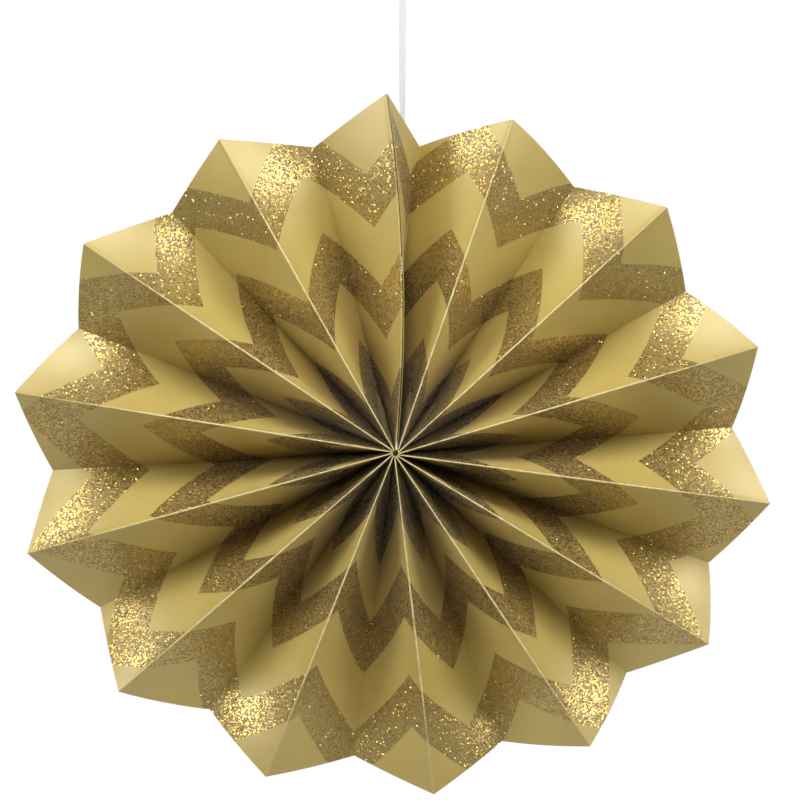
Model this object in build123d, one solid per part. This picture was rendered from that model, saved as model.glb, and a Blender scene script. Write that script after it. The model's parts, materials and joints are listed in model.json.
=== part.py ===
"""Paper fan medallion: one pleated strip of card, opened into a full round and hung by a ribbon.

The fan hangs in the XZ plane with its printed front towards -Y and +Z up, in millimetres.
The origin is the middle of the oval that the fold ends lie on.
"""

from build123d import *
import os
from math import cos, radians, sin, tau

# Opened fan
PLEATS = 14  # mountain folds round the fan, each with a valley fold after it
TIP_REACH = 203.0  # middle of the fan to the end of a mountain fold, sideways
NOTCH_REACH = 183.0  # middle of the fan to the end of a valley fold, sideways
OVAL_RATIO = 0.908  # height of the hanging fan over its width
HUB_DEPTH = 47.0  # front to back at the hub, where the panels stand on edge
TIP_DEPTH = 16.0  # front to back at the mountain tips
HUB_RIGHT = 1.7  # hub to the right of the fan's middle
HUB_DOWN = 1.9  # hub below the fan's middle

# Uneven opening of the pleats, in degrees counter-clockwise from +X
FIRST_TIP_TURN = 91.4  # the mountain fold beside the seam
SEAM_TURN = 5.4  # opening of the seam panel, narrower than the others
LAST_TURN = 11.9  # opening of the last panel, on the seam's other side
LEAN = 2.55  # most that the folds crowd towards one side
LEAN_TOWARDS = 206.8  # the side they crowd towards
PINCH = 0.65  # most that the folds crowd towards the left and right

# Card
CARD = 0.3  # thickness
BENDS = 16  # steps from hub to rim in which a panel turns from edge-on to facing the front
BEND_CROWDING = 1.3  # above 1, the steps are shorter towards the hub
HUB_SLACK = 0.06  # room beside each panel where they pack round the hub

# Seam, where a glue tab on the last fold is stuck behind the first panel
TAB_WIDTH = 29.0
SEAM_TIP_REACH = 207.0  # the seam's mountain fold ends further out than the others
SEAM_NOTCH_REACH = 179.8  # the seam's valley fold ends further in than the others
SEAM_TIP_DEPTH = 26.0  # the seam's folds stay deeper than the others at the rim
SEAM_RIDGE_BOW = 5.6  # the seam's mountain fold bows to the right
SEAM_VALLEY_BOW = -3.6  # the seam's valley fold bows to the left
SEAM_CLEARANCE = 0.1  # between the layers that are pressed together in the seam

# Double-sided tape on the tab
TAPE = 0.12  # thickness
TAPE_INSET = 9.0  # seam's mountain fold to the tape
TAPE_MARGIN = 2.0  # tape to the tab's free edge
TAPE_BENDS = 12  # steps that the tape covers, from the rim inwards

# Thread that gathers the pleats at the hub
THREAD_D = 0.8
THREAD_STEP = 1  # the thread goes through the panels at the end of this step from the hub
THREAD_BACK = 9.0  # the thread's ring lies this far behind the fan's middle
THREAD_SIDES = 8  # flats that stand for the thread's round section
THREAD_SLIT_GAP = 0.05  # between the thread and the slits that are cut for it
THREAD_SLIT_CUT = 4.0  # length of each cutter, in thicknesses of card
THREAD_KNOT_OVER = 0.3  # the knot stands proud of the thread by this
THREAD_KNOT_HALF = 0.6  # middle of the knot to where it runs out into the thread

# Hanging ribbon, its tail caught in the seam
RIBBON = 0.15  # thickness
RIBBON_WIDTH = 5.0
RIBBON_INSET = 22.6  # seam's mountain fold to the ribbon's middle
TAIL_BENDS = 2  # steps of the seam that hold the ribbon's tail
RIBBON_RISE = 72.0  # rim to knot
KNOT_HEIGHT = 6.0
KNOT_DEPTH = 4.2
KNOT_OVER = 0.9  # the knot stands proud of the ribbon's edges by this
KNOT_LAND = 1.0  # flat left between the knot's rounded edges
LOOP_LENGTH = 34.0
LOOP_R = 7.0
LOOP_FOOT_R = 0.6  # the loop's two strands where they enter the knot

STATIONS = [(step / BENDS) ** BEND_CROWDING for step in range(BENDS + 1)]
FOLDS = 2 * PLEATS
KNOT_FOLD = 2 * (PLEATS // 2)  # the mountain fold that hides the thread's knot
HUB = Vector(HUB_RIGHT, 0, -HUB_DOWN)
TAPE_LIFT = CARD + SEAM_CLEARANCE
RIBBON_LIFT = TAPE_LIFT + TAPE + SEAM_CLEARANCE
FIRST_PANEL_LIFT = RIBBON_LIFT + RIBBON + SEAM_CLEARANCE
PANEL_PITCH = CARD + HUB_SLACK
SEAM_PITCH = FIRST_PANEL_LIFT + CARD + HUB_SLACK
HUB_RADIUS = ((FOLDS - 1) * PANEL_PITCH + SEAM_PITCH) / tau
TAB_SHARE = TAB_WIDTH / HUB_DEPTH
SAME_POINT = 1e-6


# Fold lines


def fold_turn(index):
    """Direction of a fold's end round the oval, in degrees; fold 0 is the seam's mountain."""
    even = (360 - SEAM_TURN - LAST_TURN) / (FOLDS - 2)
    turn = FIRST_TIP_TURN
    if index > 0:
        turn -= SEAM_TURN + (index - 1) * even
    lean = LEAN * cos(radians(turn - LEAN_TOWARDS))
    return turn + lean - PINCH * cos(radians(2 * turn))


def hub_turn(index):
    """Direction of a fold where it starts at the hub, in degrees."""
    along = 0.0
    if index > 0:
        along = SEAM_PITCH + (index - 1) * PANEL_PITCH
    return FIRST_TIP_TURN - 360 * along / (tau * HUB_RADIUS)


def fold_line(index):
    """Inner side of a fold's crease, as one point for each station from hub to rim."""
    mountain = index % 2 == 0
    at_seam = index < 2
    reach, tip_depth, bow = (TIP_REACH if mountain else NOTCH_REACH), TIP_DEPTH, 0.0
    if at_seam:
        reach = SEAM_TIP_REACH if mountain else SEAM_NOTCH_REACH
        tip_depth = SEAM_TIP_DEPTH
        bow = SEAM_RIDGE_BOW if mountain else SEAM_VALLEY_BOW
    end_turn = radians(fold_turn(index))
    start_turn = radians(hub_turn(index))
    end = Vector(reach * cos(end_turn), 0, OVAL_RATIO * reach * sin(end_turn))
    start = HUB + Vector(cos(start_turn), 0, sin(start_turn)) * HUB_RADIUS
    points = []
    for station in STATIONS:
        plan = start + (end - start) * station
        out = station * reach / TIP_REACH
        depth = (HUB_DEPTH - (HUB_DEPTH - tip_depth) * out**2) / 2
        sideways = bow * 4 * station * (1 - station)
        points.append(plan + Vector(sideways, -depth if mountain else depth, 0))
    return points


# Lines from hub to rim, each held as one point for each station


def front_normals(line, next_line):
    """Front normal of the panel between two lines, in clockwise order, at each station."""
    found = []
    for k in range(BENDS + 1):
        near, far = max(k - 1, 0), min(k + 1, BENDS)
        outward = line[far] - line[near] + next_line[far] - next_line[near]
        found.append((next_line[k] - line[k]).cross(outward).normalized())
    return found


def lifted(line, directions, distance):
    """The line's points moved along their own directions."""
    return [point + direction * distance for point, direction in zip(line, directions)]


def across(mountain, valley, share, steps):
    """Line at a share of a panel's width, over its last steps to the rim.

    The panel bends along the lines that lead outwards from its mountain fold to its valley fold,
    and this line has a point on each of those bends and at each station.
    """
    points = []
    for k in range(BENDS - steps, BENDS):
        points.append(mountain[k] + (valley[k] - mountain[k]) * share)
        points.append(mountain[k] + (valley[k + 1] - mountain[k]) * share)
    return [*points, mountain[-1] + (valley[-1] - mountain[-1]) * share]


# Faces and solids


def triangle(a, b, c):
    """Flat three-cornered face, or none where two corners are one point."""
    if min((b - a).length, (c - b).length, (a - c).length) < SAME_POINT:
        return []
    return [Face(Wire.make_polygon([a, b, c]))]


def quad(a, b, c, d):
    """Two flat faces between four corners."""
    return [*triangle(a, b, c), *triangle(a, c, d)]


def ribs(line, other):
    """Flat faces between two lines with as many points."""
    faces = []
    for k in range(1, len(line)):
        faces += quad(line[k - 1], other[k - 1], other[k], line[k])
    return faces


def closed_solid(faces):
    """Solid inside faces that meet edge to edge."""
    solid = Solid(Shell(faces))
    if solid.volume < 0:
        solid = Solid(Shell([-face for face in faces]))
    return solid


class Layer:
    """A layer of sheet between a mountain and a valley line, over shares of the width between them."""

    def __init__(self, mountain_front, mountain_back, valley_front, valley_back):
        self.mountain_front = mountain_front
        self.mountain_back = mountain_back
        self.valley_front = valley_front
        self.valley_back = valley_back

    def lines(self, share, steps=BENDS):
        """Front and back lines at a share of the width."""
        front = across(self.mountain_front, self.valley_front, share, steps)
        return front, across(self.mountain_back, self.valley_back, share, steps)

    def skins(self, low=0.0, high=1.0, steps=BENDS):
        """Front and back faces between two shares of the width."""
        front_low, back_low = self.lines(low, steps)
        front_high, back_high = self.lines(high, steps)
        return [*ribs(front_low, front_high), *ribs(back_low, back_high)]

    def corners(self, k, low=0.0, high=1.0, steps=BENDS):
        """Corners of the layer's end towards the hub, k = 0, or at the rim, k = -1."""
        front_low, back_low = self.lines(low, steps)
        front_high, back_high = self.lines(high, steps)
        return front_low[k], front_high[k], back_high[k], back_low[k]

    def ends(self, low=0.0, high=1.0, steps=BENDS):
        """Cut faces at both ends of the layer."""
        return [*quad(*self.corners(0, low, high, steps)), *quad(*self.corners(-1, low, high, steps))]

    def edge(self, share, steps=BENDS):
        """Cut face along the layer, at a share of the width."""
        return ribs(*self.lines(share, steps))


# The folded card

FOLD_LINES = [fold_line(index) for index in range(FOLDS)]
SEAM_NORMAL = front_normals(FOLD_LINES[0], FOLD_LINES[1])
SEAM_FAR = lifted(FOLD_LINES[1], SEAM_NORMAL, -FIRST_PANEL_LIFT - CARD)


def folded_panel(index):
    """Panel between a fold and the next one clockwise."""
    line = FOLD_LINES[index]
    next_line = FOLD_LINES[(index + 1) % FOLDS]
    normal = front_normals(line, next_line)
    mountain, valley = (line, next_line) if index % 2 == 0 else (next_line, line)
    return Layer(lifted(mountain, normal, CARD), mountain, valley, lifted(valley, normal, -CARD))


def seam_layer(lift, thickness):
    """Layer of the seam, lifted off the back of the glue tab."""
    lines = []
    for line in (FOLD_LINES[0], SEAM_FAR):
        lines.append(lifted(line, SEAM_NORMAL, lift + thickness))
        lines.append(lifted(line, SEAM_NORMAL, lift))
    return Layer(*lines)


def crease_faces(panel, following, mountain):
    """Blunt outer side of the fold between two panels, with its two small ends."""
    if mountain:
        inner, line, other = panel.mountain_back, panel.mountain_front, following.mountain_front
    else:
        inner, line, other = panel.valley_front, panel.valley_back, following.valley_back
    faces = ribs(line, other)
    for k in (0, -1):
        faces += triangle(inner[k], line[k], other[k])
    return faces


def ring_plane(panel):
    """Plane across the thread where it goes through a panel, with X away from the hub."""
    start = (panel.mountain_front[THREAD_STEP] + panel.mountain_back[THREAD_STEP]) / 2
    end = (panel.valley_front[THREAD_STEP] + panel.valley_back[THREAD_STEP]) / 2
    crossing = start + (end - start) * ((THREAD_BACK - start.Y) / (end.Y - start.Y))
    away = (crossing - HUB).project_to_plane(Plane.XZ)
    return Plane(crossing, x_dir=away, z_dir=away.cross(Vector(0, 1, 0)))


def thread_slit(panel):
    """Cutter for the slit that lets the thread through a panel."""
    side = THREAD_D + 2 * THREAD_SLIT_GAP
    return ring_plane(panel) * Box(side, side, THREAD_SLIT_CUT * CARD)


FIRST_PANEL = seam_layer(FIRST_PANEL_LIFT, CARD)
PANELS = [FIRST_PANEL, *[folded_panel(index) for index in range(1, FOLDS)]]


def pleated_fan():
    """The folded strip: the panels in clockwise order, then the glue tab behind the first of them."""
    tab = seam_layer(0, CARD)
    faces = [*tab.skins(0, TAB_SHARE), *tab.ends(0, TAB_SHARE), *tab.edge(TAB_SHARE), *FIRST_PANEL.edge(0)]
    for panel in PANELS:
        faces += [*panel.skins(), *panel.ends()]
    for index, following in enumerate([*PANELS[1:], tab]):
        faces += crease_faces(PANELS[index], following, index % 2 == 1)
    return closed_solid(faces) - [thread_slit(panel) for panel in PANELS]


# What joins and hangs it


def seam_tape():
    """Double-sided tape on the front of the glue tab."""
    tape = seam_layer(TAPE_LIFT, TAPE)
    low = TAPE_INSET / HUB_DEPTH
    high = TAB_SHARE - TAPE_MARGIN / HUB_DEPTH
    faces = [*tape.skins(low, high, TAPE_BENDS), *tape.ends(low, high, TAPE_BENDS)]
    return closed_solid([*faces, *tape.edge(low, TAPE_BENDS), *tape.edge(high, TAPE_BENDS)])


def thread_section(plane, radius):
    """Points round the thread in a plane across it."""
    arm = Vector(radius, 0, 0)
    turns = [360 * k / THREAD_SIDES for k in range(THREAD_SIDES + 1)]
    return [plane.from_local_coords(arm.rotate(Axis.Z, turn)) for turn in turns]


def hub_thread():
    """Thread drawn tight from slit to slit round the hub, and knotted behind a mountain fold."""
    planes = [ring_plane(panel) for panel in PANELS]
    sections = [thread_section(plane, THREAD_D / 2) for plane in planes]
    before, after = planes[KNOT_FOLD - 1], planes[KNOT_FOLD]
    run = (after.origin - before.origin).normalized()
    knot = []
    for along, over in ((-THREAD_KNOT_HALF, 0), (0, THREAD_KNOT_OVER), (THREAD_KNOT_HALF, 0)):
        middle = (before.origin + after.origin) / 2 + run * along
        plane = Plane(middle, x_dir=before.x_dir + after.x_dir, z_dir=run)
        knot.append(thread_section(plane, THREAD_D / 2 + over))
    sections[KNOT_FOLD:KNOT_FOLD] = knot
    faces = []
    for k in range(len(sections)):
        faces += ribs(sections[k - 1], sections[k])
    return closed_solid(faces)


SEAM_OUTWARD = (FOLD_LINES[0][-1] - FOLD_LINES[0][-2]).normalized()
RIM_WIDTH = (SEAM_FAR[-1] - FOLD_LINES[0][-1]).cross(SEAM_OUTWARD).length
RIBBON_LAYER = seam_layer(RIBBON_LIFT, RIBBON)
RIBBON_SHARES = [RIBBON_INSET / HUB_DEPTH + side * RIBBON_WIDTH / 2 / RIM_WIDTH for side in (-1, 1)]
RIBBON_FOOT = RIBBON_LAYER.corners(-1, *RIBBON_SHARES)
RIBBON_EXIT = sum(RIBBON_FOOT, Vector()) / len(RIBBON_FOOT)
RIBBON_TOP = RIBBON_EXIT + Vector(0, 0, RIBBON_RISE)
ACROSS_RIBBON = (RIBBON_FOOT[1] - RIBBON_FOOT[0]).project_to_plane(Plane.XY).normalized()
KNOT_MIDDLE = RIBBON_TOP + Vector(0, 0, KNOT_HEIGHT / 2)


def hanging_ribbon():
    """Ribbon from its tail in the seam, out over the rim and straight up to the knot."""
    faces = RIBBON_LAYER.skins(*RIBBON_SHARES, TAIL_BENDS)
    faces += quad(*RIBBON_LAYER.corners(0, *RIBBON_SHARES, TAIL_BENDS))
    for share in RIBBON_SHARES:
        faces += RIBBON_LAYER.edge(share, TAIL_BENDS)
    head = [Vector(corner.X, corner.Y, RIBBON_TOP.Z) for corner in RIBBON_FOOT]
    faces += quad(*head)
    for k in range(len(head)):
        faces += quad(RIBBON_FOOT[k - 1], RIBBON_FOOT[k], head[k], head[k - 1])
    return closed_solid(faces)


def loop_outline(inset):
    """Outline of the loop from the side: two strands that leave the knot and a round bend."""
    foot = Circle(LOOP_FOOT_R - inset)
    bend = Pos(0, LOOP_LENGTH - LOOP_R) * Circle(LOOP_R - inset)
    return make_hull([*foot.edges(), *bend.edges()])


def ribbon_loop():
    """Hanging loop at the ribbon's top, tied with a knot."""
    side = Plane(KNOT_MIDDLE, x_dir=Vector(0, 0, 1).cross(ACROSS_RIBBON), z_dir=ACROSS_RIBBON)
    loop = extrude(side * (loop_outline(0) - loop_outline(RIBBON)), RIBBON_WIDTH / 2, both=True)
    block = Box(RIBBON_WIDTH + 2 * KNOT_OVER, KNOT_DEPTH, KNOT_HEIGHT)
    knot = fillet(block.edges(), (min(KNOT_DEPTH, KNOT_HEIGHT) - KNOT_LAND) / 2)
    return Plane(KNOT_MIDDLE, x_dir=ACROSS_RIBBON) * knot + loop


PIECES = {
    "pleated_fan": pleated_fan,
    "seam_tape": seam_tape,
    "hub_thread": hub_thread,
    "hanging_ribbon": hanging_ribbon,
    "ribbon_loop": ribbon_loop,
}

os.makedirs("parts", exist_ok=True)
for name, make in PIECES.items():
    export_step(make(), f"parts/{name}.step")

print("ribbon leaves the rim at", RIBBON_EXIT, "and enters its knot at", RIBBON_TOP)
print("loop's top inside at", KNOT_MIDDLE + Vector(0, 0, LOOP_LENGTH - RIBBON), "across", ACROSS_RIBBON)
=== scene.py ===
"""Looks of a hanging fan of pleated card: gold print with glitter bands, seam, thread and ribbon.

Lengths are in metres and angles in degrees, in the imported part's own frame: the printed front
looks along -Y and +Z is up.
"""

from __future__ import annotations

import json
import logging
import random
from collections.abc import Iterator
from dataclasses import dataclass, field
from enum import Enum, IntEnum
from math import cos, exp, pi, radians, sin, tau

import bmesh
import bpy
from mathutils import Vector, noise
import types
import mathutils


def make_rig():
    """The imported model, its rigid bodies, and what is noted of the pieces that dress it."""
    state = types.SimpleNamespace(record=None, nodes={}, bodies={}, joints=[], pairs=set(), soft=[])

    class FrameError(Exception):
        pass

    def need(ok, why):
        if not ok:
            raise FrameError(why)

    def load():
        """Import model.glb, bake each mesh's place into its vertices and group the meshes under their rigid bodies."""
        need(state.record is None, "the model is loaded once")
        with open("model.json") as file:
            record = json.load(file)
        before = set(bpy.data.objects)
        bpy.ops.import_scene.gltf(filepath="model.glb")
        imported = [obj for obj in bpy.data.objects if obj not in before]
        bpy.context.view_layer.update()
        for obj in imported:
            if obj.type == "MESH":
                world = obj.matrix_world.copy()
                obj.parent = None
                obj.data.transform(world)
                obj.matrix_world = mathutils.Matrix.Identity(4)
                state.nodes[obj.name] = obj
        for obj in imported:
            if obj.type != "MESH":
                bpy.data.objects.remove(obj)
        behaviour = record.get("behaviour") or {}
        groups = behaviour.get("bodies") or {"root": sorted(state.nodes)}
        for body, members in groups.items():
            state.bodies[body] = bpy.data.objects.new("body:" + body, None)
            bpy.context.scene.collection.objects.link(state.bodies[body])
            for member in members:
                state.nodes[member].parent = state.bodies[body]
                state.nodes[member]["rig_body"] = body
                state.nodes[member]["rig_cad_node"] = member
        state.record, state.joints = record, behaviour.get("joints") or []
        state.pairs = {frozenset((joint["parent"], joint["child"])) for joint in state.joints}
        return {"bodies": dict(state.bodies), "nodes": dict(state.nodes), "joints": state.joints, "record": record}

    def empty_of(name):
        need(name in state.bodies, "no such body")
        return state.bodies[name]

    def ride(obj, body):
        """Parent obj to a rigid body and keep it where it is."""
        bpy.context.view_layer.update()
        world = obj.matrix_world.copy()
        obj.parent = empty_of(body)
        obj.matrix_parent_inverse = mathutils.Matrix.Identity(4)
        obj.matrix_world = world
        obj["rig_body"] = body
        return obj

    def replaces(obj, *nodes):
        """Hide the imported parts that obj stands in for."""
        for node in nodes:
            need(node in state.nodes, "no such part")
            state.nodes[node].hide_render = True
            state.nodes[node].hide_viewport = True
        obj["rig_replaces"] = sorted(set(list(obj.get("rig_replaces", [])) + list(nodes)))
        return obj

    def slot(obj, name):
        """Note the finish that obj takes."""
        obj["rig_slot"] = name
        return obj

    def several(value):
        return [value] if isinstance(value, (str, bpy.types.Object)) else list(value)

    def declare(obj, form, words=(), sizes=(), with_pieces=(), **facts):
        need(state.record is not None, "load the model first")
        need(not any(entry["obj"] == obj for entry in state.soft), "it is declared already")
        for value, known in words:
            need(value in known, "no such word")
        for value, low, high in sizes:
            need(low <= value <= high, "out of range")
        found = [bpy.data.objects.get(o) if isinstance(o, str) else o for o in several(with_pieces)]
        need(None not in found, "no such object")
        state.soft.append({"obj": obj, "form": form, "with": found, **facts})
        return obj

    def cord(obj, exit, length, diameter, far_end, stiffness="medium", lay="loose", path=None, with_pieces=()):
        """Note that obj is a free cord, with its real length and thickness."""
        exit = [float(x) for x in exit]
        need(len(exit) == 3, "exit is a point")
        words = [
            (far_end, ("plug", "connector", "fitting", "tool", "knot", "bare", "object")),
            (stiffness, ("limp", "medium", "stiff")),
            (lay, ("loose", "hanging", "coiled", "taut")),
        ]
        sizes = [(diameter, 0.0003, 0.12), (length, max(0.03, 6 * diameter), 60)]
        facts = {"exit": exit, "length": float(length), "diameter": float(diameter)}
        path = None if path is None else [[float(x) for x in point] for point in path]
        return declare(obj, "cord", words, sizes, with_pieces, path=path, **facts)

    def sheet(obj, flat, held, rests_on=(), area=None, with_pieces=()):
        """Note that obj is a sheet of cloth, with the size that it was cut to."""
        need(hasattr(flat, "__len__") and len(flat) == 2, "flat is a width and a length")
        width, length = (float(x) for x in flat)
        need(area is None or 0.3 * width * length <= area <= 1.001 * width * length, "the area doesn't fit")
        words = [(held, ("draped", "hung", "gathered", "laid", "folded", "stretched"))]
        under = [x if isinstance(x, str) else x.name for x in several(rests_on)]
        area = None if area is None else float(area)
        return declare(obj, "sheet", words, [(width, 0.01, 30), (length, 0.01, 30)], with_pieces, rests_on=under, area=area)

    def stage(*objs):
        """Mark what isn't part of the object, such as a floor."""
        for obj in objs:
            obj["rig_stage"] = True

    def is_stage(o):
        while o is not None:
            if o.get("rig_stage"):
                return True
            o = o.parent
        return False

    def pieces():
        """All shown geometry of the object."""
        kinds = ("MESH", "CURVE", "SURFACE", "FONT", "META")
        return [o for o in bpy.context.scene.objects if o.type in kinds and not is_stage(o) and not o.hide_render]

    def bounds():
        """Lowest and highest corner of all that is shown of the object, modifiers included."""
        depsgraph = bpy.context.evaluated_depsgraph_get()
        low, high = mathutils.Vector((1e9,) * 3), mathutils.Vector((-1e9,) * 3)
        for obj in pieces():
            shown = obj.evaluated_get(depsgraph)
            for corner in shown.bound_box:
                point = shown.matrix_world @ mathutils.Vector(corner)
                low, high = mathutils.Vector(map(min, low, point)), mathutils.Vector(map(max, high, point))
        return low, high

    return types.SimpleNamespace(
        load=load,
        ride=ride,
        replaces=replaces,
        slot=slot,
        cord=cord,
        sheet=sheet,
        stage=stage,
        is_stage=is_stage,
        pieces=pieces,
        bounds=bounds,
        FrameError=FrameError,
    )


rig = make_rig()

LOG = logging.getLogger("paper_fan")
SIZE_FILE = "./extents.json"
FLAT_UV = "flat"
SAME_POINT = 1e-7
UP = Vector((0, 0, 1))

# Bends sharper than these are not shaded as one surface
CUT_ANGLE = radians(60)
FOLD_ANGLE = radians(38)

Colour = tuple[float, float, float]
Place = tuple[float, float, float]
Range = tuple[float, float]


def smooth_step(value: float, low: float, high: float) -> float:
    """Eases from 0 at one value to 1 at another.

    Args:
        value: Where to read the curve.
        low: The curve is 0 here.
        high: The curve is 1 here.

    Returns:
        A number from 0 to 1.
    """
    share = min(max((value - low) / (high - low), 0.0), 1.0)
    return share * share * (3 - 2 * share)


def hump(share: float) -> float:
    """Rises from 0 at 0 to 1 halfway, and falls back to 0 at 1."""
    return 4 * share * (1 - share)


# Shaders


class Field:
    """A number that changes over a surface, held as a socket of a shader."""

    def __init__(self, shader: Shader, socket: bpy.types.NodeSocket) -> None:
        """Wraps a socket."""
        self.shader = shader
        self.socket = socket

    def __add__(self, other: float | Field) -> Field:
        """Sum."""
        return self.shader.math("ADD", self, other)

    def __radd__(self, other: float | Field) -> Field:
        """Sum with a number on the left."""
        return self.shader.math("ADD", other, self)

    def __sub__(self, other: float | Field) -> Field:
        """Difference."""
        return self.shader.math("SUBTRACT", self, other)

    def __rsub__(self, other: float | Field) -> Field:
        """Difference from a number."""
        return self.shader.math("SUBTRACT", other, self)

    def __mul__(self, other: float | Field) -> Field:
        """Product."""
        return self.shader.math("MULTIPLY", self, other)

    def __rmul__(self, other: float | Field) -> Field:
        """Product with a number on the left."""
        return self.shader.math("MULTIPLY", other, self)

    def __truediv__(self, other: float | Field) -> Field:
        """Quotient."""
        return self.shader.math("DIVIDE", self, other)

    def eased(self, low: float, high: float) -> Field:
        """Eases from 0 where this field has one value to 1 where it has another.

        Args:
            low: The result is 0 here.
            high: The result is 1 here.

        Returns:
            A field from 0 to 1.
        """
        settings = {"interpolation_type": "SMOOTHSTEP"}
        inputs = {"Value": self, "From Min": low, "From Max": high}
        return self.shader.field("ShaderNodeMapRange", settings, inputs, "Result")


class Shader:
    """Node tree of a material or of the world, written as expressions."""

    def __init__(self, tree: bpy.types.NodeTree) -> None:
        """Takes over a node tree."""
        self.tree = tree

    def node(
        self,
        kind: str,
        settings: dict[str, object] | None = None,
        inputs: dict[str | int, object] | None = None,
    ) -> bpy.types.Node:
        """Adds any node.

        Args:
            kind: Type of the node.
            settings: Its properties, which are set first.
            inputs: Values or links of its sockets, by name or number.

        Returns:
            The new node.
        """
        node = self.tree.nodes.new(kind)
        for name, value in (settings or {}).items():
            setattr(node, name, value)
        for name, value in (inputs or {}).items():
            self.feed(node.inputs[name], value)
        return node

    def feed(self, socket: bpy.types.NodeSocket, value: object) -> None:
        """Links a field or a socket to an input, or sets the input to a plain value.

        Args:
            socket: The input.
            value: What it gets. A plain colour has three parts.
        """
        if isinstance(value, Field):
            value = value.socket
        if isinstance(value, bpy.types.NodeSocket):
            self.tree.links.new(value, socket)
        elif socket.type == "RGBA" and len(value) == 3:
            socket.default_value = (*value, 1.0)
        else:
            socket.default_value = value

    def field(self, kind: str, settings: dict, inputs: dict, output: str | int) -> Field:
        """Adds a node and gives one of its outputs as a field."""
        return Field(self, self.node(kind, settings, inputs).outputs[output])

    def math(self, operation: str, *values: float | Field) -> Field:
        """Adds a Math node of the operation to numbers and fields."""
        return self.field("ShaderNodeMath", {"operation": operation}, dict(enumerate(values)), 0)

    def vector(self, operation: str, *values: object) -> bpy.types.NodeSocket:
        """Adds a Vector Math node of the operation."""
        node = self.node("ShaderNodeVectorMath", {"operation": operation}, dict(enumerate(values)))
        return node.outputs["Vector"]

    def mix(self, share: Field, first: object, second: object) -> bpy.types.NodeSocket:
        """Mixes two colours.

        Args:
            share: 0 for the first colour, 1 for the second.
            first: A colour or a link.
            second: A colour or a link.

        Returns:
            The mixed colour.
        """
        node = self.node("ShaderNodeMix", {"data_type": "RGBA"})
        sockets = {socket.name: socket for socket in node.inputs if socket.enabled}
        for name, value in {"Factor": share, "A": first, "B": second}.items():
            self.feed(sockets[name], value)
        return next(socket for socket in node.outputs if socket.enabled)

    def split(self, vector: bpy.types.NodeSocket) -> tuple[Field, Field, Field]:
        """Gives the three parts of a vector."""
        node = self.node("ShaderNodeSeparateXYZ", None, {"Vector": vector})
        return tuple(Field(self, socket) for socket in node.outputs)

    def place(self) -> bpy.types.NodeSocket:
        """Place on a piece as it stands, in metres."""
        return self.node("ShaderNodeTexCoord").outputs["Object"]

    def flat(self) -> bpy.types.NodeSocket:
        """Place on a sheet or ribbon as it would lie flat, in metres."""
        return self.node("ShaderNodeUVMap", {"uv_map": FLAT_UV}).outputs["UV"]

    def grain(self, place: bpy.types.NodeSocket, size: float, detail: float = 2.0) -> Field:
        """Soft noise from 0 to 1.

        Args:
            place: Coordinates in metres.
            size: Width of one blotch, in metres.
            detail: Finer layers in each blotch.

        Returns:
            The noise.
        """
        inputs = {"Vector": place, "Scale": 1 / size, "Detail": detail}
        return self.field("ShaderNodeTexNoise", {}, inputs, "Fac")

    def waves(self, distance: Field, length: float) -> Field:
        """Even waves from 0 to 1, each of the same length in metres."""
        return self.math("SINE", distance * (tau / length)) * 0.5 + 0.5

    def bump(
        self,
        height: Field,
        distance: float,
        normal: bpy.types.NodeSocket | None = None,
    ) -> bpy.types.NodeSocket:
        """Fine relief.

        Args:
            height: Where the surface stands out, from 0 to 1.
            distance: How far it stands out, in metres.
            normal: Normal without the relief, where it isn't the mesh's own.

        Returns:
            The normal with the relief.
        """
        inputs = {"Height": height, "Distance": distance}
        if normal is not None:
            inputs["Normal"] = normal
        return self.node("ShaderNodeBump", None, inputs).outputs["Normal"]


@dataclass
class Material:
    """A surface that a piece is dressed in."""

    name: str
    shader: Shader = field(init=False)
    data: bpy.types.Material = field(init=False)

    def __post_init__(self) -> None:
        """Makes the material with its principled surface."""
        self.data = bpy.data.materials.new(self.name)
        self.data.use_nodes = True
        self.shader = Shader(self.data.node_tree)

    def finish(self, **sockets: object) -> bpy.types.Material:
        """Feeds the principled surface.

        Args:
            sockets: Values or links, with _ for each space in a socket's name.

        Returns:
            The finished material.
        """
        surface = self.shader.tree.nodes["Principled BSDF"]
        for name, value in sockets.items():
            self.shader.feed(surface.inputs[name.replace("_", " ")], value)
        return self.data


# Finishes


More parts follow.
